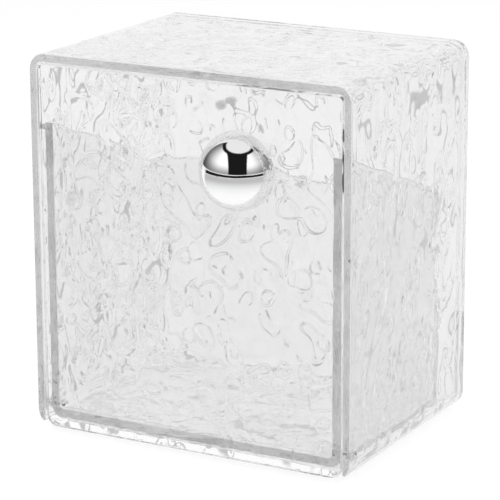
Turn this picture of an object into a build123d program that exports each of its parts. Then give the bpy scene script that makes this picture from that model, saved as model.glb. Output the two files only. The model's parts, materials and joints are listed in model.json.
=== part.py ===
"""Clear box with a tilt-out bin and a chrome knob, for round cotton pads.

The outer case is a thick clear shell that is open at the front. A bin tilts out
of it on two pins near the bottom front corners. The bin is a front panel bonded
to a tray whose side walls slope down to the back. Its domed knob is held by a
screw from inside. The case stands on four thin feet, which give the panel's
lower edge room to swing under the pins.

Frame: origin on the table under the middle of the whole outline, X to the
right, Y to the back, Z up. All sizes are in millimetres and the bin is shut.
"""

import os
from math import cos, radians, sin

from build123d import *

# ---------------------------------------------------------------- case
case_width = 110.0
case_depth = 82.0
case_height = 119.0
case_side_wall = 2.6
case_top_wall = 2.7
case_floor = 2.7
case_back_wall = 2.7
case_long_edge_radius = 5.2
case_back_edge_radius = 2.8
case_inner_top_radius = 1.6
case_inner_floor_radius = 2.6
case_rim_radius = 0.4
case_toe_radius = 0.6

# ---------------------------------------------------------------- feet
foot_diameter = 8.0
foot_height = 1.8
foot_edge_radius = 0.4
foot_inset = 9.0
front_foot_inset = 4.5

# ---------------------------------------------------------------- front panel
panel_thickness = 2.7
panel_gap = 0.5
panel_floor_lift = 0.1
panel_top_radius = 1.5
panel_bottom_radius = 3.8
panel_edge_radius = 0.35

# ---------------------------------------------------------------- bin tray
tray_depth = 64.4
tray_wall = 2.8
tray_floor = 2.7
tray_side_gap = 1.6
tray_floor_gap = 0.3
tray_front_height = 94.4
tray_back_height = 70.8
tray_outer_radius = 3.2
tray_back_radius = 2.2
tray_inner_radius = 1.2
tray_lip_radius = 0.5
nub_size = 1.5
nub_gap = 0.3

# ---------------------------------------------------------------- pivot
pivot_setback = 4.9
pivot_height = 6.8
pin_diameter = 2.6
pin_chamfer = 0.25
pin_running_gap = 0.06
pin_seat_gap = 0.02
pin_reach = 1.5
pin_end_gap = 0.2
boss_diameter = 4.2
boss_gap = 0.4
open_angle = 40.0
stop_gap = 0.2

# ---------------------------------------------------------------- knob
knob_offset = 18.0
knob_below_panel_top = 25.2
knob_diameter = 24.0
knob_projection = 12.0
knob_base_radius = 0.4
insert_diameter = 6.0
insert_length = 7.0
screw_diameter = 4.0
screw_length = 10.0
screw_hole_diameter = 4.4
screw_head_diameter = 7.6
screw_head_height = 2.4
screw_head_radius = 1.2
recess_width = 0.9
recess_length = 4.2
recess_depth = 1.3
washer_diameter = 10.0
washer_thickness = 0.8
thread_gap = 0.02

# ---------------------------------------------------------------- places
case_base = foot_height
case_front = (knob_projection - case_depth) / 2
case_back = case_front + case_depth
inside_half_width = case_width / 2 - case_side_wall
inside_floor = case_base + case_floor
inside_top = case_base + case_height - case_top_wall

panel_back = case_front + panel_thickness
panel_half_width = inside_half_width - panel_gap
panel_bottom = case_base + panel_floor_lift
panel_top = inside_top - panel_gap

tray_half_width = inside_half_width - tray_side_gap
tray_bottom = inside_floor + tray_floor_gap
tray_back = panel_back + tray_depth
tray_inside_half_width = tray_half_width - tray_wall

pivot_y = case_front + pivot_setback
pivot_z = case_base + pivot_height
knob_z = panel_top - knob_below_panel_top

# How far a cutting shape runs past the face that it opens.
CUT = 5.0


def stop_edge():
    """Where the case floor starts, so that the tilted panel's heel meets it."""
    turn = radians(open_angle)
    heel_y = panel_back - pivot_y
    heel_z = panel_bottom - pivot_z
    return pivot_y + heel_y * cos(turn) - heel_z * sin(turn) + stop_gap


def front_outline(half_width, low, high, low_radius, high_radius=0):
    """Upright rectangle in X and Z with its own radii at the foot and the head."""
    height = high - low
    sheet = Pos(0, low + height / 2) * Rectangle(2 * half_width, height)
    sheet = fillet(sheet.vertices().group_by(Axis.Y)[0], low_radius)
    if high_radius:
        sheet = fillet(sheet.vertices().group_by(Axis.Y)[-1], high_radius)
    return sheet


def push_back(outline, start, depth):
    """Solid from an X-Z outline, from Y = start towards the back."""
    return extrude(Plane.XZ.offset(-start) * outline, amount=-depth)


def rod_across(radius, x_start, x_end, y, z):
    """Round bar along X between two places."""
    length = x_end - x_start
    return Pos((x_start + x_end) / 2, y, z) * Rot(0, 90, 0) * Cylinder(radius, length)


def rod_back(radius, y_start, y_end, x, z):
    """Round bar along Y between two places."""
    length = y_end - y_start
    return Pos(x, (y_start + y_end) / 2, z) * Rot(90, 0, 0) * Cylinder(radius, length)


def block(x_range, y_range, z_range):
    """Plain block between pairs of places."""
    size = [high - low for low, high in (x_range, y_range, z_range)]
    middle = [(high + low) / 2 for low, high in (x_range, y_range, z_range)]
    return Pos(*middle) * Box(*size)


def outer_case():
    """Open-fronted shell with rounded long edges and blind holes for the pins."""
    top = case_base + case_height
    radius = case_long_edge_radius
    outline = front_outline(case_width / 2, case_base, top, radius, radius)
    skin = push_back(outline, case_front, case_depth)
    skin = fillet(skin.faces().sort_by(Axis.Y)[-1].edges(), case_back_edge_radius)
    room = front_outline(
        inside_half_width, inside_floor, inside_top, case_inner_floor_radius, case_inner_top_radius
    )
    shell = skin - push_back(room, case_front, case_depth - case_back_wall)
    mouth_top = inside_floor + case_inner_floor_radius
    mouth = block(
        (-inside_half_width, inside_half_width),
        (case_front - CUT, stop_edge()),
        (case_base - CUT, mouth_top),
    )
    shell -= mouth
    shell = fillet(toe_edges(shell), case_toe_radius)
    shell = fillet(shell.faces().sort_by(Axis.Y)[0].edges(), case_rim_radius)
    hole_radius = pin_diameter / 2 + pin_running_gap
    hole_end = inside_half_width + pin_reach + pin_end_gap
    for side in (-1, 1):
        ends = sorted((side * (inside_half_width - case_side_wall), side * hole_end))
        shell -= rod_across(hole_radius, *ends, pivot_y, pivot_z)
    return shell


def toe_edges(shell):
    """The lowest inner edges of the side walls, in front of the floor."""
    wall_middle = inside_half_width + case_side_wall / 2
    long_edges = shell.edges().filter_by(Axis.Y)
    ahead = long_edges.filter_by_position(Axis.Y, case_front, stop_edge())
    return ahead.filter_by_position(Axis.X, -wall_middle, wall_middle).group_by(Axis.Z)[0]


def bumper_feet():
    """Four thin round feet under the floor's corners."""
    x = case_width / 2 - foot_inset - foot_diameter / 2
    y_places = (
        stop_edge() + front_foot_inset + foot_diameter / 2,
        case_back - foot_inset - foot_diameter / 2,
    )
    foot = Cylinder(foot_diameter / 2, foot_height, align=(Align.CENTER, Align.CENTER, Align.MIN))
    foot = fillet(foot.edges().sort_by(Axis.Z)[0], foot_edge_radius)
    return Compound(children=[Pos(side * x, y, 0) * foot for side in (-1, 1) for y in y_places])


def front_panel():
    """Flat front of the bin, with a screw hole for the knob."""
    sheet = front_outline(
        panel_half_width, panel_bottom, panel_top, panel_bottom_radius, panel_top_radius
    )
    panel = push_back(sheet, case_front, panel_thickness)
    panel = fillet(panel.faces().sort_by(Axis.Y)[0].edges(), panel_edge_radius)
    return panel - rod_back(
        screw_hole_diameter / 2, case_front - CUT, panel_back + CUT, knob_offset, knob_z
    )


def sloped_waste():
    """What lies above the sloping top edge of the tray."""
    front_top = tray_bottom + tray_front_height
    back_top = tray_bottom + tray_back_height
    fall = (back_top - front_top) / tray_depth
    clear_top = front_top + 2 * CUT
    edge = Polyline(
        (panel_back - CUT, front_top - fall * CUT),
        (tray_back + CUT, back_top + fall * CUT),
        (tray_back + CUT, clear_top),
        (panel_back - CUT, clear_top),
        close=True,
    )
    return extrude(Plane.YZ * make_face(edge), amount=case_width, both=True)


def lip_edges(body):
    """The edges of the tray's sloping rim, without those that meet the panel."""
    lowest = tray_bottom + tray_back_height - tray_lip_radius
    foremost = panel_back + tray_lip_radius
    boxes = [(edge, edge.bounding_box()) for edge in body.edges()]
    return [edge for edge, box in boxes if box.min.Z > lowest and box.max.Y > foremost]


def bin_tray():
    """Floor, back and sloping sides of the bin, with bosses round the pins."""
    top = tray_bottom + tray_front_height + CUT
    outline = front_outline(tray_half_width, tray_bottom, top, tray_outer_radius)
    body = push_back(outline, panel_back, tray_depth)
    back_face = body.faces().sort_by(Axis.Y)[-1]
    body = fillet(back_face.edges().filter_by(Axis.Z), tray_back_radius)
    hollow = front_outline(
        tray_inside_half_width, tray_bottom + tray_floor, top + CUT, tray_inner_radius
    )
    body -= push_back(hollow, panel_back, tray_depth - tray_wall)
    body -= sloped_waste()
    body = fillet(lip_edges(body), tray_lip_radius)
    for side in (-1, 1):
        body += side_fittings(side)
    for side in (-1, 1):
        ends = sorted((side * tray_inside_half_width, side * inside_half_width))
        body -= rod_across(pin_diameter / 2 + pin_seat_gap, *ends, pivot_y, pivot_z)
    return body


def side_fittings(side):
    """Boss round the pin and the small nub at the top of one side wall."""
    boss_end = inside_half_width - boss_gap
    ends = sorted((side * (tray_half_width - tray_wall / 2), side * boss_end))
    boss = rod_across(boss_diameter / 2, *ends, pivot_y, pivot_z)
    nub_end = inside_half_width - nub_gap
    nub_ends = sorted((side * (tray_half_width - tray_wall / 2), side * nub_end))
    nub_top = tray_bottom + tray_front_height - nub_size / 2
    nub = block(nub_ends, (panel_back, panel_back + nub_size), (nub_top - nub_size, nub_top))
    return boss + nub


def pivot_pin(side):
    """Dowel through one tray wall into the blind hole of the case."""
    ends = sorted((side * tray_inside_half_width, side * (inside_half_width + pin_reach)))
    pin = rod_across(pin_diameter / 2, *ends, pivot_y, pivot_z)
    return chamfer(pin.edges().filter_by(GeomType.CIRCLE), pin_chamfer)


def knob_dome():
    """Domed chrome knob with a pocket for its threaded insert."""
    radius = knob_diameter / 2
    quarter = Pos(radius, -knob_projection) * Rectangle(2 * radius, 2 * knob_projection)
    profile = Ellipse(radius, knob_projection) & quarter
    profile = fillet(profile.vertices().sort_by(Axis.X)[-1], knob_base_radius)
    dome = Pos(knob_offset, case_front, knob_z) * revolve(profile, Axis.Y)
    pocket_radius = insert_diameter / 2 + thread_gap
    pocket_end = case_front - insert_length
    return dome - rod_back(pocket_radius, pocket_end, case_front + CUT, knob_offset, knob_z)


def knob_insert():
    """Threaded brass sleeve inside the knob."""
    end = case_front - insert_length
    sleeve = rod_back(insert_diameter / 2, end, case_front, knob_offset, knob_z)
    bore_radius = screw_diameter / 2 + thread_gap
    return sleeve - rod_back(bore_radius, end - CUT, case_front + CUT, knob_offset, knob_z)


def knob_washer():
    """Clear washer between the screw head and the panel."""
    end = panel_back + washer_thickness
    disc = rod_back(washer_diameter / 2, panel_back, end, knob_offset, knob_z)
    hole_radius = screw_hole_diameter / 2
    return disc - rod_back(hole_radius, panel_back - CUT, end + CUT, knob_offset, knob_z)


def knob_screw():
    """Pan head screw from inside the bin, with a cross recess."""
    seat = panel_back + washer_thickness
    shank = rod_back(screw_diameter / 2, seat - screw_length, seat, knob_offset, knob_z)
    head_end = seat + screw_head_height
    head = rod_back(screw_head_diameter / 2, seat, head_end, knob_offset, knob_z)
    head = fillet(head.edges().sort_by(Axis.Y)[-1], screw_head_radius)
    screw = shank + head
    for width, height in ((recess_length, recess_width), (recess_width, recess_length)):
        screw -= block(
            (knob_offset - width / 2, knob_offset + width / 2),
            (head_end - recess_depth, head_end + CUT),
            (knob_z - height / 2, knob_z + height / 2),
        )
    return screw


nodes = {
    "outer_case": outer_case(),
    "bumper_feet": bumper_feet(),
    "front_panel": front_panel(),
    "bin_tray": bin_tray(),
    "pivot_pin_left": pivot_pin(-1),
    "pivot_pin_right": pivot_pin(1),
    "knob_dome": knob_dome(),
    "knob_insert": knob_insert(),
    "knob_washer": knob_washer(),
    "knob_screw": knob_screw(),
}

os.makedirs("parts", exist_ok=True)
for name, solid in nodes.items():
    export_step(solid, f"parts/{name}.step")
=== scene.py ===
"""Clear rippled cotton pad box with a tilt-out bin and a domed chrome knob, in a white studio.

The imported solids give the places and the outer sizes, and the walls below repeat those of
the solids. The case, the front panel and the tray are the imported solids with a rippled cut
taken off their inner faces, so they are smooth outside and rippled inside. The feet are the
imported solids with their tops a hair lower. The pins and the knob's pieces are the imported
solids themselves. Lengths are in metres, where nothing else is said.
"""

import json
from math import ceil, cos, pi, radians, sin

import bmesh
import bpy
import numpy as np
from mathutils import Matrix, Vector

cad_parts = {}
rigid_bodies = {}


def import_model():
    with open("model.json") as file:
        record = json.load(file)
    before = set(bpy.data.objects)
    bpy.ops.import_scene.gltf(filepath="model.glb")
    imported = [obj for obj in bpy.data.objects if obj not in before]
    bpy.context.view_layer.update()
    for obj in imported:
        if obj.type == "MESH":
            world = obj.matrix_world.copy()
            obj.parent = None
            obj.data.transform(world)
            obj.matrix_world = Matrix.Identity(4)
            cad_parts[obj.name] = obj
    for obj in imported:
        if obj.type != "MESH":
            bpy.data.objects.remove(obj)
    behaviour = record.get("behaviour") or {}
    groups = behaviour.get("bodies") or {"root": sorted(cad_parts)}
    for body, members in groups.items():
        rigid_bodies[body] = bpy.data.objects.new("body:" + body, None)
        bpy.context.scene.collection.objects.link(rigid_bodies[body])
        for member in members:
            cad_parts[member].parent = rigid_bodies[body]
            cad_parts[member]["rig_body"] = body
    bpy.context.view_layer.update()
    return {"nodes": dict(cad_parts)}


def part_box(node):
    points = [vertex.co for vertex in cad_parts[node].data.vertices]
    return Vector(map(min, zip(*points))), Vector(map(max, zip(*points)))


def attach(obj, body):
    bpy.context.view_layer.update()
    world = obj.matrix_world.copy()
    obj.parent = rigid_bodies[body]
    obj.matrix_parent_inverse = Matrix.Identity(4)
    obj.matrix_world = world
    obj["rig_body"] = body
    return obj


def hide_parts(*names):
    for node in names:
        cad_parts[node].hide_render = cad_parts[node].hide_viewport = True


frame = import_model()

MM = 0.001

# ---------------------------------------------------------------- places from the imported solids
CASE_LOW, CASE_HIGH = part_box("outer_case")
PANEL_LOW, PANEL_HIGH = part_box("front_panel")
TRAY_LOW, TRAY_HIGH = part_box("bin_tray")
KNOB_LOW, KNOB_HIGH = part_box("knob_dome")
PIN_LOW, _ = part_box("pivot_pin_right")

# ---------------------------------------------------------------- walls
CASE_SIDE_WALL = 2.6 * MM
CASE_OTHER_WALL = 2.7 * MM
CASE_TOP_RADIUS = 1.6 * MM
CASE_FLOOR_RADIUS = 2.6 * MM
TRAY_WALL = 2.8 * MM
TRAY_FLOOR = 2.7 * MM
TRAY_CORNER_RADIUS = 1.2 * MM

# ---------------------------------------------------------------- cutters and meshes
CASE_SPACING = 0.8 * MM
TRAY_SPACING = 0.7 * MM
PANEL_SPACING = 0.4 * MM
CASE_RUN_OUT = 2.0 * MM
TRAY_RUN_OUT = 1.0 * MM
TRAY_TOP_RUN_OUT = 4.0 * MM
PANEL_RUN_OUT = 1.0 * MM
PANEL_BACK_RUN_OUT = 3.0 * MM
CORNER_POINTS = 3
WELD = 0.0005 * MM
SHARP_ANGLE = radians(38)
FLAT_REACH = 0.1 * MM
FACING = 0.9

# ---------------------------------------------------------------- ripples
# Every cut is deeper than the clearance, so that no cut face lies in a face of the solid.
# The relief over it runs from SHALLOWEST to DEEPEST times the depth of the moulding's ripples.
CLEARANCE = 0.04 * MM
CASE_RIPPLE = 1.1 * MM
TRAY_RIPPLE = 0.4 * MM
PANEL_RIPPLE = 0.8 * MM
SHALLOWEST = 0.02
DEEPEST = 1.2

CASE_SEED = 11
TRAY_SEED = 31
PANEL_SEED = 51

# Sizes of the islands, in millimetres.
CASE_ISLAND = 9.0
TRAY_ISLAND = 13.0
PANEL_ISLAND = 9.0

# Lengths of the other parts of the relief against the islands. UPRIGHT, a share of the
# height, makes islands, pits and blisters taller than wide.
SWELL_LENGTH = 1.9
PILLOW_LENGTH = 1.1
BLISTER_LENGTH = 0.6
UPRIGHT = 0.62

# Where islands and pits start on their waves, how wide their rims are, and all the heights.
ISLAND_LEVEL = 0.75
PIT_LEVEL = 0.9
RIM = 0.42
BLISTER_RIM = 0.35
GROUND = 0.42
SWELL_HEIGHT = 0.09
PILLOW_HEIGHT = 0.07
ISLAND_HEIGHT = 0.26
PIT_DEPTH = 0.22

# Where the ripples grow calm. CALM is the share that they lose at the back and near a floor.
CALM = 0.7
SMOOTH_BORDER = 2.0 * MM
BORDER_FADE = 3.0 * MM
BACK_FADE_START = 8.0 * MM
BACK_FADE_END = 3.0 * MM
FLOOR_CALM_HEIGHT = 3.0 * MM
FLOOR_FADE = 2.0 * MM
KNOB_SMOOTH = 5.5 * MM
KNOB_FADE_END = 9.0 * MM

# ---------------------------------------------------------------- view
VIEW_TURN = radians(29.224)
VIEW_RISE = radians(15.4741)
VIEW_ROLL = radians(-0.229)
VIEW_DISTANCE = 765.85 * MM
VIEW_TARGET = Vector((21.588 * MM, CASE_LOW.y, 68.68 * MM))
LENS = 187.17


# ================================================================ ripple field
def wave_field(seed, wavelength, count=26, spread=(0.75, 1.7)):
    """Smooth random field in space, as a sum of plane waves of about one length."""
    draw = np.random.default_rng(seed)
    direction = draw.normal(size=(count, 3))
    direction /= np.linalg.norm(direction, axis=1)[:, None]
    lengths = wavelength * draw.uniform(*spread, size=count)
    waves = direction * (2 * pi / lengths)[:, None]
    phases = draw.uniform(0, 2 * pi, size=count)

    def field(points):
        return np.cos(points @ waves.T + phases).sum(axis=1) * (2 / count) ** 0.5

    return field


def step(value, low, high):
    """Smooth step from 0 at low to 1 at high."""
    t = np.clip((value - low) / (high - low), 0, 1)
    return t * t * (3 - 2 * t)


def ripple_height(seed, size, rim, rare=0.0, spot_level=1.3, spot_height=0.16):
    """Height of about 0 to 1: soft swells with islands and pits of that size, in millimetres.

    rim is the width of their rims against the usual, and rare makes them fewer.
    spot_level is the rarity of the smallest, and spot_height their height.
    """
    swell = wave_field(seed, SWELL_LENGTH * size * MM)
    pillow = wave_field(seed + 1, PILLOW_LENGTH * size * MM)
    island = wave_field(seed + 2, size * MM)
    blister = wave_field(seed + 3, BLISTER_LENGTH * size * MM)
    stretch = np.array((1.0, 1.0, UPRIGHT))

    def height(points):
        tall = points * stretch
        level = island(tall)
        plate = step(level, ISLAND_LEVEL + rare, ISLAND_LEVEL + rare + RIM * rim)
        pit = step(-level, PIT_LEVEL + rare, PIT_LEVEL + rare + RIM * rim)
        spot = step(blister(tall), spot_level, spot_level + BLISTER_RIM * rim)
        soft = SWELL_HEIGHT * swell(points) + PILLOW_HEIGHT * pillow(points)
        return GROUND + soft + ISLAND_HEIGHT * plate - PIT_DEPTH * pit + spot_height * spot

    return height


def cut_depth(ripple, fade, height, points):
    """Depth of a rippled cut at the points. fade is the share of the ripples left there."""
    return CLEARANCE + ripple * fade * np.clip(height(points), SHALLOWEST, DEEPEST)


def near_floor(points, floor):
    """1 just over the inside of a moulding's floor, 0 a little higher."""
    return step(floor + FLOOR_CALM_HEIGHT - points[:, 2], 0, FLOOR_FADE)


# ================================================================ mesh building
def rounded_outline(half_width, low, high, low_radius, high_radius, spacing):
    """Points and outward normals of an upright rounded rectangle in X and Z."""
    corners = (
        (half_width - low_radius, low + low_radius, low_radius, -pi / 2),
        (half_width - high_radius, high - high_radius, high_radius, 0.0),
        (-half_width + high_radius, high - high_radius, high_radius, pi / 2),
        (-half_width + low_radius, low + low_radius, low_radius, pi),
    )
    points, normals = [], []
    for index, (x, z, radius, start) in enumerate(corners):
        steps = max(CORNER_POINTS, ceil(radius * pi / 2 / spacing) + 1)
        for angle in np.linspace(start, start + pi / 2, steps):
            points.append((x + radius * cos(angle), z + radius * sin(angle)))
            normals.append((cos(angle), sin(angle)))
        next_x, next_z, next_radius, _ = corners[(index + 1) % len(corners)]
        turn = start + pi / 2
        first = np.array(points[-1])
        last = np.array((next_x + next_radius * cos(turn), next_z + next_radius * sin(turn)))
        gaps = ceil(np.linalg.norm(last - first) / spacing)
        for share in np.arange(1, gaps) / gaps:
            points.append(tuple(first + share * (last - first)))
            normals.append((cos(turn), sin(turn)))
    return np.array(points), np.array(normals)


def object_from(name, points, faces):
    """New mesh object from points and faces."""
    mesh = bpy.data.meshes.new(name)
    mesh.from_pydata([tuple(p) for p in points], [], faces)
    mesh.validate()
    obj = bpy.data.objects.new(name, mesh)
    bpy.context.scene.collection.objects.link(obj)
    return obj


def lofted(name, rings):
    """Closed object through rings of equally many points, with flat ends."""
    count = len(rings[0])
    points = np.concatenate(rings)
    faces = []
    for index in range(len(rings) - 1):
        base = index * count
        for i in range(count):
            j = (i + 1) % count
            faces.append((base + i, base + count + i, base + count + j, base + j))
    faces.append(tuple(range(count)))
    last = (len(rings) - 1) * count
    faces.append(tuple(last + i for i in range(count - 1, -1, -1)))
    return object_from(name, points, faces)


def room_cutter(name, outline, normals, y_front, y_back, spacing, depth_at):
    """Block that fills a rippled room: its walls and back stand proud by depth_at(points)."""
    middle = outline.mean(axis=0)
    rings = []

    def ring(flat, y):
        return np.column_stack((flat[:, 0], np.full(len(flat), y), flat[:, 1]))

    outward = np.column_stack((normals[:, 0], np.zeros(len(normals)), normals[:, 1]))
    backward = np.array((0.0, 1.0, 0.0))
    for y in np.linspace(y_front, y_back, ceil((y_back - y_front) / spacing) + 1):
        wall = ring(outline, y)
        deep = depth_at(wall)[:, None]
        at_corner = y == y_back
        rings.append(wall + outward * deep + (backward * deep if at_corner else 0))
    reach = abs(outline - middle).max()
    for share in np.linspace(1, 0, ceil(reach / spacing) + 1)[1:-1]:
        wall = ring(middle + share * (outline - middle), y_back)
        rings.append(wall + backward * depth_at(wall)[:, None])
    return lofted(name, rings)


def sheet_cutter(name, x_range, z_range, y_face, y_far, spacing, depth_at):
    """Slab whose front face is rippled towards the front by depth_at(points)."""
    xs = np.linspace(*x_range, ceil((x_range[1] - x_range[0]) / spacing) + 1)
    zs = np.linspace(*z_range, ceil((z_range[1] - z_range[0]) / spacing) + 1)
    grid_x, grid_z = np.meshgrid(xs, zs)
    face = np.column_stack((grid_x.ravel(), np.full(grid_x.size, y_face), grid_z.ravel()))
    face[:, 1] -= depth_at(face)
    columns, rows = len(xs), len(zs)
    faces = []
    for row in range(rows - 1):
        for column in range(columns - 1):
            a = row * columns + column
            faces.append((a, a + 1, a + columns + 1, a + columns))
    border = list(range(columns))
    border += [row * columns + columns - 1 for row in range(1, rows)]
    border += [(rows - 1) * columns + column for column in range(columns - 2, -1, -1)]
    border += [row * columns for row in range(rows - 2, 0, -1)]
    far = face[border].copy()
    far[:, 1] = y_far
    start = len(face)
    size = len(border)
    for i in range(size):
        j = (i + 1) % size
        faces.append((border[j], border[i], start + i, start + j))
    faces.append(tuple(start + i for i in range(size - 1, -1, -1)))
    return object_from(name, np.concatenate((face, far)), faces)


def welded_copy(name, node, material):
    """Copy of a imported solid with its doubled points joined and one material."""
    mesh = frame["nodes"][node].data.copy()
    mesh.name = name
    work = bmesh.new()
    work.from_mesh(mesh)
    bmesh.ops.remove_doubles(work, verts=work.verts, dist=WELD)
    work.to_mesh(mesh)
    work.free()
    obj = bpy.data.objects.new(name, mesh)
    bpy.context.scene.collection.objects.link(obj)
    mesh.materials.clear()
    mesh.materials.append(material)
    return obj


def apply_modifiers(obj):
    """Turn an object's modifiers into its mesh."""
    bpy.context.view_layer.update()
    seen = obj.evaluated_get(bpy.context.evaluated_depsgraph_get())
    mesh = bpy.data.meshes.new_from_object(seen)
    obj.modifiers.clear()
    obj.data = mesh


def carved(name, node, cutter, smooth, rippled):
    """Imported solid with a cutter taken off, in place of the solid. The cut face is rippled."""
    obj = welded_copy(name, node, smooth)
    cutter.data.materials.append(rippled)
    cut = obj.modifiers.new("ripples", "BOOLEAN")
    cut.operation = "DIFFERENCE"
    cut.solver = "MANIFOLD"
    cut.material_mode = "TRANSFER"
    cut.object = cutter
    apply_modifiers(obj)
    bpy.data.objects.remove(cutter)
    obj.data.shade_smooth()
    obj.data.set_sharp_from_angle(angle=SHARP_ANGLE)
    even = obj.modifiers.new("even_normals", "WEIGHTED_NORMAL")
    even.keep_sharp = True
    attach(obj, frame["nodes"][node]["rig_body"])
    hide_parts(node)
    return obj


def finish_and_shade_front(obj, y_front, material):
    """Give the flat faces at the very front of a moulding their own material: its darker tint is
    painted shade, its haze and roughness a finish.
    """
    obj.data.materials.append(material)
    for face in obj.data.polygons:
        if face.normal.y < -FACING and face.center.y < y_front + FLAT_REACH:
            face.material_index = len(obj.data.materials) - 1


# ================================================================ the mouldings and the feet
def case_shell(finish):
    """Case with ripples on its inner faces and a smooth border at the open front."""
    low = CASE_LOW.z + CASE_OTHER_WALL
    high = CASE_HIGH.z - CASE_OTHER_WALL
    half = CASE_HIGH.x - CASE_SIDE_WALL
    outline, normals = rounded_outline(
        half, low, high, CASE_FLOOR_RADIUS, CASE_TOP_RADIUS, CASE_SPACING
    )
    height = ripple_height(
        CASE_SEED, CASE_ISLAND, rim=1.4, rare=0.3, spot_level=1.65, spot_height=0.6
    )

    def depth(points):
        fade = step(points[:, 1] - CASE_LOW.y, SMOOTH_BORDER, SMOOTH_BORDER + BORDER_FADE)
        back = step(points[:, 1] - CASE_HIGH.y, -BACK_FADE_START, -BACK_FADE_END)
        fade *= 1 - CALM * np.maximum(back, near_floor(points, low))
        return cut_depth(CASE_RIPPLE, fade, height, points)

    cutter = room_cutter(
        "case_room", outline, normals, CASE_LOW.y - CASE_RUN_OUT,
        CASE_HIGH.y - CASE_OTHER_WALL, CASE_SPACING, depth,
    )
    obj = carved("case_shell", "outer_case", cutter, *finish)
    # The case's front end faces are tinted darker: painted shade for the grey band they show.
    # Their haze and roughness are a finish.
    rim = clear_plastic(
        "case_rim_shade", tint=0.52, haze=0.2, rough=0.02, grain=320.0, relief=0.01 * MM, shadow=0.85
    )
    finish_and_shade_front(obj, CASE_LOW.y, rim)
    return obj


def tray_shell(finish):
    """Tray with ripples on its inner faces, where the pins start."""
    low = TRAY_LOW.z + TRAY_FLOOR
    high = TRAY_HIGH.z + TRAY_TOP_RUN_OUT
    half = PIN_LOW.x
    outline, normals = rounded_outline(
        half, low, high, TRAY_CORNER_RADIUS, TRAY_CORNER_RADIUS, TRAY_SPACING
    )
    height = ripple_height(TRAY_SEED, TRAY_ISLAND, rim=1.6)

    def depth(points):
        fade = 1 - CALM * near_floor(points, low)
        return cut_depth(TRAY_RIPPLE, fade, height, points)

    cutter = room_cutter(
        "tray_room", outline, normals, TRAY_LOW.y - TRAY_RUN_OUT,
        TRAY_HIGH.y - TRAY_WALL, TRAY_SPACING, depth,
    )
    obj = carved("tray_shell", "bin_tray", cutter, *finish)
    # The tray's front end faces are tinted darker: painted shade for the dark strips along its
    # walls. Their haze and roughness are a finish.
    front_shade = clear_plastic(
        "tray_front_shade", tint=0.42, haze=0.35, rough=0.05, grain=320.0, relief=0.02 * MM, shadow=0.8
    )
    finish_and_shade_front(obj, TRAY_LOW.y, front_shade)
    return obj


def panel_sheet(finish):
    """Front panel with ripples on its back, smooth round the knob's screw."""
    height = ripple_height(PANEL_SEED, PANEL_ISLAND, rim=0.9, rare=0.1)
    knob_x = (KNOB_LOW.x + KNOB_HIGH.x) / 2
    knob_z = (KNOB_LOW.z + KNOB_HIGH.z) / 2

    def depth(points):
        away = np.hypot(points[:, 0] - knob_x, points[:, 2] - knob_z)
        fade = step(away, KNOB_SMOOTH, KNOB_FADE_END)
        return cut_depth(PANEL_RIPPLE, fade, height, points)

    cutter = sheet_cutter(
        "panel_back", (PANEL_LOW.x - PANEL_RUN_OUT, PANEL_HIGH.x + PANEL_RUN_OUT),
        (PANEL_LOW.z - PANEL_RUN_OUT, PANEL_HIGH.z + PANEL_RUN_OUT),
        PANEL_HIGH.y, PANEL_HIGH.y + PANEL_BACK_RUN_OUT, PANEL_SPACING, depth,
    )
    return carved("panel_sheet", "front_panel", cutter, *finish)


def feet_pads(finish):
    """Feet with their tops a hair lower, so that light meets air between them and the case."""
    obj = welded_copy("feet_pads", "bumper_feet", finish)
    for point in obj.data.vertices:
        if point.co.z > CASE_LOW.z - FLAT_REACH:
            point.co.z -= CLEARANCE
    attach(obj, frame["nodes"]["bumper_feet"]["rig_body"])
    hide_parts("bumper_feet")
    return obj


# ================================================================ materials
PLASTIC_IOR = 1.49
CLOUD_SCALE = 42.0
CLOUD_FROM = 0.35
CLOUD_TO = 0.75
LEAST_ROUGH = 0.6
ROUGH_SPREAD = 0.8
METAL_HAZE = 0.06


class Nodes:
    """Small helper that adds and links nodes in one tree."""

    def __init__(self, tree):
        self.tree = tree

    def add(self, kind, inputs=None, **settings):
        """New node with its settings, then its inputs."""
        node = self.tree.nodes.new(kind)
        for name, value in settings.items():
            setattr(node, name, value)
        for key, value in (inputs or {}).items():
            self.feed(node.inputs[key], value)
        return node

    def feed(self, socket, value):
        """Link an output to a socket, or set the socket's own value."""
        if isinstance(value, bpy.types.NodeSocket):
            self.tree.links.new(value, socket)
        else:
            socket.default_value = value

    def math(self, operation, *values):
        """Result of one operation on values or outputs."""
        node = self.add("ShaderNodeMath", operation=operation)
        for socket, value in zip(node.inputs, values):
            self.feed(socket, value)
        return node.outputs[0]

    def ramp(self, value, low, high, to_low=0.0, to_high=1.0):
        """Smooth change from to_low at low to to_high at high."""
        node = self.add("ShaderNodeMapRange", interpolation_type="SMOOTHSTEP")
        for key, given in enumerate((value, low, high, to_low, to_high)):
            self.feed(node.inputs[key], given)
        return node.outputs[0]


def new_material(name):
    """Material with an empty tree and its output."""
    material = bpy.data.materials.new(name)
    material.use_nodes = True
    material.node_tree.nodes.clear()
    nodes = Nodes(material.node_tree)
    output = nodes.add("ShaderNodeOutputMaterial")
    return material, nodes, output


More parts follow.
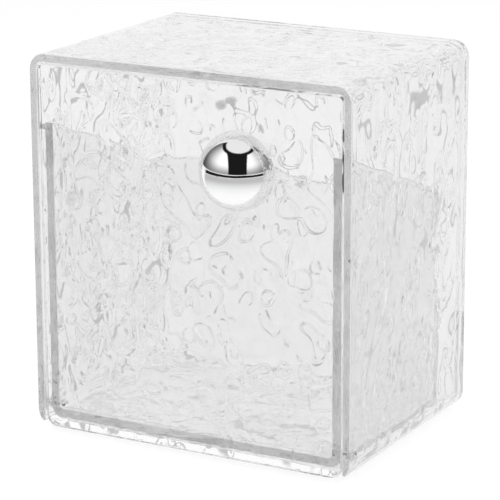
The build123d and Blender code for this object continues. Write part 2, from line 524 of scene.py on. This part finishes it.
def moulding_group():
    """Faint haze, gloss change and fine waviness of a surface, over object space."""
    group = bpy.data.node_groups.new("moulding_marks", "ShaderNodeTree")
    for name, way, kind in (
        ("Tint", "INPUT", "NodeSocketColor"),
        ("Haze", "INPUT", "NodeSocketFloat"),
        ("Rough", "INPUT", "NodeSocketFloat"),
        ("Grain", "INPUT", "NodeSocketFloat"),
        ("Color", "OUTPUT", "NodeSocketColor"),
        ("Roughness", "OUTPUT", "NodeSocketFloat"),
        ("Height", "OUTPUT", "NodeSocketFloat"),
    ):
        group.interface.new_socket(name, in_out=way, socket_type=kind)
    nodes = Nodes(group)
    given = nodes.add("NodeGroupInput").outputs
    result = nodes.add("NodeGroupOutput").inputs
    place = nodes.add("ShaderNodeTexCoord").outputs["Object"]
    cloud = nodes.add(
        "ShaderNodeTexNoise",
        {"Vector": place, "Scale": CLOUD_SCALE, "Detail": 3.0, "Roughness": 0.55},
    ).outputs["Fac"]
    fine = nodes.add(
        "ShaderNodeTexNoise", {"Vector": place, "Scale": given["Grain"], "Detail": 2.0}
    ).outputs["Fac"]
    share = nodes.ramp(cloud, CLOUD_FROM, CLOUD_TO)
    dim = nodes.math("SUBTRACT", 1.0, nodes.math("MULTIPLY", share, given["Haze"]))
    tinted = nodes.add(
        "ShaderNodeVectorMath", {0: given["Tint"], "Scale": dim}, operation="SCALE"
    )
    nodes.feed(result["Color"], tinted.outputs[0])
    spread = nodes.math("MULTIPLY_ADD", share, ROUGH_SPREAD, LEAST_ROUGH)
    nodes.feed(result["Roughness"], nodes.math("MULTIPLY", spread, given["Rough"]))
    nodes.feed(result["Height"], fine)
    return group


MOULDING = moulding_group()


def surface_marks(nodes, color, haze, rough, grain, relief):
    """Inputs of a shader: colour, roughness and normal with their faint marks."""
    marks = nodes.add(
        "ShaderNodeGroup",
        {"Tint": (*color, 1), "Haze": haze, "Rough": rough, "Grain": grain},
        node_tree=MOULDING,
    ).outputs
    bump = nodes.add(
        "ShaderNodeBump", {"Height": marks["Height"], "Distance": relief, "Strength": 1.0}
    )
    return {
        "Base Color": marks["Color"],
        "Roughness": marks["Roughness"],
        "Normal": bump.outputs[0],
    }


def clear_plastic(name, tint, haze, rough, grain, relief, shadow):
    """Clear moulded plastic that lets the lamps through as a pale shadow."""
    material, nodes, output = new_material(name)
    marks = surface_marks(nodes, (tint, tint, tint), haze, rough, grain, relief)
    body = nodes.add(
        "ShaderNodeBsdfPrincipled", {**marks, "IOR": PLASTIC_IOR, "Transmission Weight": 1.0}
    )
    through = nodes.add("ShaderNodeBsdfTransparent", {"Color": (shadow, shadow, shadow, 1)})
    rays = nodes.add("ShaderNodeLightPath").outputs
    both = nodes.add(
        "ShaderNodeMixShader",
        {0: rays["Is Shadow Ray"], 1: body.outputs[0], 2: through.outputs[0]},
    )
    nodes.feed(output.inputs["Surface"], both.outputs[0])
    return material


def metal(name, color, rough, grain, relief):
    """Bright metal with faint polishing clouds."""
    material, nodes, output = new_material(name)
    marks = surface_marks(nodes, color, METAL_HAZE, rough, grain, relief)
    body = nodes.add("ShaderNodeBsdfPrincipled", {**marks, "Metallic": 1.0})
    nodes.feed(output.inputs["Surface"], body.outputs[0])
    return material


def wall_finish(name, tint):
    """Smooth and rippled finish of one moulding."""
    smooth = clear_plastic(
        name, tint, haze=0.02, rough=0.01, grain=900.0, relief=0.002 * MM, shadow=0.93
    )
    rippled = clear_plastic(
        name + "_rippled", tint, haze=0.03, rough=0.015, grain=900.0, relief=0.004 * MM,
        shadow=0.93,
    )
    return smooth, rippled


def dress(node, material):
    """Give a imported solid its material."""
    mesh = frame["nodes"][node].data
    mesh.materials.clear()
    mesh.materials.append(material)


# ================================================================ studio
LAMP_DISTANCE = 1.4
SIDE_LAMP_TURN = radians(60)
SIDE_LAMP_RISE = radians(34)
SIDE_LAMP_SIZE = 0.9
SIDE_LAMP_LEVEL = 0.22
TOP_LAMP_RISE = radians(76)
TOP_LAMP_SIZE = 0.7
TOP_LAMP_LEVEL = 0.25

# The world is laid out round the line of sight of the photograph, which VIEW_TURN and
# VIEW_RISE give. Its parts are fixed directions and don't follow the camera that renders.

# The room in front, as the knob mirrors it. Turns are from the camera's side, and levels
# are against white. The soft boxes fade with their turn and towards the horizon.
ROOM_TURN = radians(-12)
ROOM_HALF = radians(116)
ROOM_EDGE = radians(3)
ROOM_DARK = 0.012
HORIZON_EDGE = radians(1)
CEILING_RISE = radians(62)
CEILING_EDGE = radians(2)
SWEEP_FROM = 0.25
SWEEP_TO = 0.95
SWEEP_TOP_LEVEL = 0.88
BOX_NEAR_TURN = radians(45)
BOX_FAR_TURN = radians(122)
BOX_NEAR_LEVEL = 1.15
BOX_FAR_LEVEL = 0.10
BOX_FULL_RISE = radians(28)
BOX_FOOT_LEVEL = 0.30
BOX_TOP = radians(53)
BOX_TOP_UNDER = radians(1)
BOX_TOP_OVER = radians(2)
BOX_MIDDLE = -0.06
BOX_INNER = 0.44
BOX_INNER_EDGE = 0.03

# The white tent round the object, as the clear walls show it. Its thin seams are rings
# round the line of sight, and the rings further out are darker.
SEAM_SPACING = radians(12)
SEAM_WIDTH = radians(2.0)
SEAM_CORE = 0.4
SEAM_DROP = 0.48
OUTER_SEAM_DROP = 0.75
INNER_RINGS = 1.0
OUTER_RINGS = 1.5
TENT_TOP_FROM = radians(9)
TENT_TOP_TO = radians(15)
ROOM_THROUGH = 0.22

# What diffuse light meets in place of the room.
ROOM_FILL = 0.5

# The floor. Mirrors see it grow greyer away from the object, then a bright line and an edge.
FLOOR_HALF = 3.0
FLOOR_SHARE = 0.30
FLOOR_GLOW = 0.765
TABLE_NEAR = 0.05
TABLE_FAR = 0.32
TABLE_FAR_LEVEL = 0.5
TABLE_EDGE = 0.66
TABLE_LINE = 0.10
TABLE_LINE_GLOW = 0.4
TABLE_DROP = 0.5 * TABLE_LINE
BEYOND_LEVEL = 0.04
AHEAD_NONE = radians(112)
AHEAD_FULL = radians(100)


def times(nodes, *values):
    """Product of several values."""
    total = values[0]
    for value in values[1:]:
        total = nodes.math("MULTIPLY", total, value)
    return total


def blend(nodes, share, first, second):
    """First where share is 0, second where it is 1."""
    mix = nodes.add("ShaderNodeMix", {0: share, 2: first, 3: second}, data_type="FLOAT")
    return mix.outputs[0]


def apart(nodes, value, middle):
    """Distance of a value from the middle."""
    return nodes.math("ABSOLUTE", nodes.math("SUBTRACT", value, middle))


def level_share(nodes, axes, x_share, y_share):
    """A direction's share along a level axis, which has those shares in X and Y."""
    along = nodes.math("MULTIPLY", axes["X"], x_share)
    return nodes.math("MULTIPLY_ADD", axes["Y"], y_share, along)


def rightward(nodes, axes):
    """A direction's share to the right of the photograph."""
    return level_share(nodes, axes, cos(VIEW_TURN), sin(VIEW_TURN))


def frontward(nodes, axes):
    """A direction's level share towards the camera's side of the photograph."""
    return level_share(nodes, axes, sin(VIEW_TURN), -cos(VIEW_TURN))


def room_picture(nodes, right, forward, up):
    """White sweep and ceiling, and a dark room in front with a soft box on each side."""
    turn = nodes.math("ARCTAN2", right, forward)
    rise = nodes.math("ARCSINE", up)
    off = apart(nodes, turn, ROOM_TURN)
    room = times(
        nodes,
        nodes.ramp(off, ROOM_HALF - ROOM_EDGE, ROOM_HALF + ROOM_EDGE, 1.0, 0.0),
        nodes.ramp(rise, -HORIZON_EDGE, HORIZON_EDGE),
        nodes.ramp(rise, CEILING_RISE - CEILING_EDGE, CEILING_RISE + CEILING_EDGE, 1.0, 0.0),
    )
    aside = apart(nodes, right, BOX_MIDDLE)
    box = times(
        nodes,
        nodes.ramp(off, BOX_NEAR_TURN, BOX_FAR_TURN, BOX_NEAR_LEVEL, BOX_FAR_LEVEL),
        nodes.ramp(rise, 0.0, BOX_FULL_RISE, BOX_FOOT_LEVEL, 1.0),
        nodes.ramp(rise, BOX_TOP - BOX_TOP_UNDER, BOX_TOP + BOX_TOP_OVER, 1.0, 0.0),
        nodes.ramp(aside, BOX_INNER - BOX_INNER_EDGE, BOX_INNER + BOX_INNER_EDGE),
    )
    sweep = nodes.ramp(up, SWEEP_FROM, SWEEP_TO, 1.0, SWEEP_TOP_LEVEL)
    return room, blend(nodes, room, sweep, nodes.math("ADD", box, ROOM_DARK))


def tent_picture(nodes, forward, up, room, picture):
    """What the clear walls show: the room, and lower down a white tent with thin ring seams."""
    straight = nodes.math("MULTIPLY", forward, -cos(VIEW_RISE))
    straight = nodes.math("MULTIPLY_ADD", up, -sin(VIEW_RISE), straight)
    away = nodes.math("DIVIDE", nodes.math("ARCCOSINE", straight), SEAM_SPACING)
    off = apart(nodes, nodes.math("FRACT", away), 0.5)
    half = SEAM_WIDTH / 2 / SEAM_SPACING
    seam = nodes.ramp(off, SEAM_CORE * half, half, 1.0, 0.0)
    drop = nodes.ramp(away, INNER_RINGS, OUTER_RINGS, SEAM_DROP, OUTER_SEAM_DROP)
    tent = nodes.math("SUBTRACT", 1.0, nodes.math("MULTIPLY", seam, drop))
    high = nodes.ramp(up, sin(TENT_TOP_FROM), sin(TENT_TOP_TO))
    shown = nodes.math("MAXIMUM", high, room)
    return blend(nodes, shown, tent, nodes.math("MAXIMUM", picture, ROOM_THROUGH))


def studio_world():
    """The room for mirrors, the tent for clear walls, white for the camera."""
    world = bpy.data.worlds.new("studio")
    world.use_nodes = True
    world.node_tree.nodes.clear()
    bpy.context.scene.world = world
    nodes = Nodes(world.node_tree)
    look = nodes.add("ShaderNodeTexCoord").outputs["Generated"]
    axes = nodes.add("ShaderNodeSeparateXYZ", {0: look}).outputs
    right = rightward(nodes, axes)
    forward = frontward(nodes, axes)
    up = axes["Z"]
    room, picture = room_picture(nodes, right, forward, up)
    tent = tent_picture(nodes, forward, up, room, picture)
    rays = nodes.add("ShaderNodeLightPath").outputs
    light = blend(nodes, rays["Is Glossy Ray"], ROOM_FILL, picture)
    light = blend(nodes, rays["Is Transmission Ray"], light, tent)
    light = blend(nodes, rays["Is Camera Ray"], light, 1.0)
    shown = nodes.add("ShaderNodeBackground", {"Color": (1, 1, 1, 1), "Strength": light})
    output = nodes.add("ShaderNodeOutputWorld")
    nodes.feed(output.inputs["Surface"], shown.outputs[0])


def table_front(nodes, away):
    """Level of the floor that mirrors see in front of the object, over the distance away."""
    fall = nodes.ramp(away, TABLE_NEAR, TABLE_FAR, 1.0, TABLE_FAR_LEVEL)
    line = times(
        nodes,
        nodes.ramp(away, TABLE_EDGE - TABLE_LINE, TABLE_EDGE, 0.0, TABLE_LINE_GLOW),
        nodes.ramp(away, TABLE_EDGE, TABLE_EDGE + TABLE_DROP, 1.0, 0.0),
    )
    beyond = nodes.ramp(away, TABLE_EDGE, TABLE_EDGE + TABLE_DROP, 1.0, BEYOND_LEVEL)
    return nodes.math("MULTIPLY", nodes.math("ADD", fall, line), beyond)


def studio_floor():
    """White floor that keeps a pale shadow. Mirrors show it greyer far off, with an edge."""
    floor = object_from(
        "floor",
        [
            (-FLOOR_HALF, -FLOOR_HALF, 0),
            (FLOOR_HALF, -FLOOR_HALF, 0),
            (FLOOR_HALF, FLOOR_HALF, 0),
            (-FLOOR_HALF, FLOOR_HALF, 0),
        ],
        [(0, 1, 2, 3)],
    )
    material, nodes, output = new_material("floor_paper")
    place = nodes.add("ShaderNodeTexCoord").outputs["Object"]
    away = nodes.add("ShaderNodeVectorMath", {0: place}, operation="LENGTH").outputs["Value"]
    axes = nodes.add("ShaderNodeSeparateXYZ", {0: place}).outputs
    toward_camera = nodes.math("DIVIDE", frontward(nodes, axes), away)
    ahead = nodes.ramp(toward_camera, cos(AHEAD_NONE), cos(AHEAD_FULL))
    rays = nodes.add("ShaderNodeLightPath").outputs
    mirrored = nodes.math("MULTIPLY", rays["Is Glossy Ray"], ahead)
    level = blend(nodes, mirrored, 1.0, table_front(nodes, away))
    seen = nodes.math("MAXIMUM", rays["Is Camera Ray"], rays["Is Glossy Ray"])
    seen = nodes.math("MAXIMUM", seen, rays["Is Transmission Ray"])
    glow = nodes.add("ShaderNodeEmission", {"Strength": times(nodes, seen, level, FLOOR_GLOW)})
    tone = nodes.add("ShaderNodeCombineColor")
    for channel in tone.inputs:
        nodes.feed(channel, nodes.math("MULTIPLY", level, FLOOR_SHARE))
    paper = nodes.add("ShaderNodeBsdfDiffuse", {"Color": tone.outputs[0]})
    both = nodes.add("ShaderNodeAddShader", {0: paper.outputs[0], 1: glow.outputs[0]})
    nodes.feed(output.inputs["Surface"], both.outputs[0])
    floor.data.materials.append(material)
    floor.visible_transmission = False


def toward(turn, rise):
    """Direction from the object, with its turn from the front and its rise."""
    return Vector((sin(turn) * cos(rise), -cos(turn) * cos(rise), sin(rise)))


def soft_lamp(name, turn, rise, size, level):
    """Square lamp that gives a floor facing it that level of light."""
    lamp = bpy.data.lights.new(name, "AREA")
    lamp.shape = "SQUARE"
    lamp.size = size
    lamp.energy = level * pi * LAMP_DISTANCE * LAMP_DISTANCE * 4
    obj = bpy.data.objects.new(name, lamp)
    bpy.context.scene.collection.objects.link(obj)
    back = toward(turn, rise)
    obj.location = back * LAMP_DISTANCE
    obj.rotation_mode = "QUATERNION"
    obj.rotation_quaternion = back.to_track_quat("Z", "Y")
    obj.visible_camera = False
    obj.visible_glossy = False
    obj.visible_transmission = False


def studio_camera():
    """Camera at the photograph's angle."""
    back = toward(VIEW_TURN, VIEW_RISE)
    flat_right = Vector((cos(VIEW_TURN), sin(VIEW_TURN), 0))
    flat_up = back.cross(flat_right)
    right = cos(VIEW_ROLL) * flat_right + sin(VIEW_ROLL) * flat_up
    up = -sin(VIEW_ROLL) * flat_right + cos(VIEW_ROLL) * flat_up
    camera = bpy.data.cameras.new("camera")
    camera.sensor_width = 36.0
    camera.lens = LENS
    camera.clip_start = 0.01
    camera.clip_end = 20.0
    obj = bpy.data.objects.new("camera", camera)
    bpy.context.scene.collection.objects.link(obj)
    turn = Matrix((right, up, back)).transposed().to_4x4()
    obj.matrix_world = Matrix.Translation(VIEW_TARGET + back * VIEW_DISTANCE) @ turn
    bpy.context.scene.camera = obj


# ================================================================ assembly
pin_plastic = clear_plastic(
    "pin_plastic", tint=0.92, haze=0.03, rough=0.03, grain=900.0, relief=0.004 * MM, shadow=0.9
)
foot_rubber = clear_plastic(
    "foot_rubber", tint=0.9, haze=0.05, rough=0.2, grain=1500.0, relief=0.01 * MM, shadow=0.85
)
knob_chrome = metal(
    "knob_chrome", (0.93, 0.93, 0.935), rough=0.02, grain=500.0, relief=0.0004 * MM
)
insert_brass = metal("insert_brass", (0.8, 0.62, 0.32), rough=0.25, grain=900.0, relief=0.02 * MM)
screw_steel = metal("screw_steel", (0.62, 0.63, 0.65), rough=0.25, grain=900.0, relief=0.02 * MM)

# One clear plastic in three tints: the lighter front panel is painted light, and the darker case
# and tray are painted shade.
for build, slot_name, tint in (
    (case_shell, "case_plastic", 0.92),
    (panel_sheet, "panel_plastic", 0.99),
    (tray_shell, "tray_plastic", 0.94),
):
    piece = build(wall_finish(slot_name, tint))

feet_pads(foot_rubber)

for node, material in (
    ("pivot_pin_left", pin_plastic),
    ("pivot_pin_right", pin_plastic),
    ("knob_dome", knob_chrome),
    ("knob_insert", insert_brass),
    ("knob_washer", pin_plastic),
    ("knob_screw", screw_steel),
):
    dress(node, material)

studio_world()
studio_floor()
soft_lamp(
    "left_lamp", VIEW_TURN - SIDE_LAMP_TURN, SIDE_LAMP_RISE, SIDE_LAMP_SIZE, SIDE_LAMP_LEVEL
)
soft_lamp(
    "right_lamp", VIEW_TURN + SIDE_LAMP_TURN, SIDE_LAMP_RISE, SIDE_LAMP_SIZE, SIDE_LAMP_LEVEL
)
soft_lamp("top_lamp", VIEW_TURN, TOP_LAMP_RISE, TOP_LAMP_SIZE, TOP_LAMP_LEVEL)
studio_camera()

BOUNCES = 64
scene = bpy.context.scene
scene.view_settings.view_transform = "Standard"
scene.cycles.max_bounces = BOUNCES
scene.cycles.transmission_bounces = BOUNCES
scene.cycles.glossy_bounces = BOUNCES
scene.cycles.transparent_max_bounces = 24
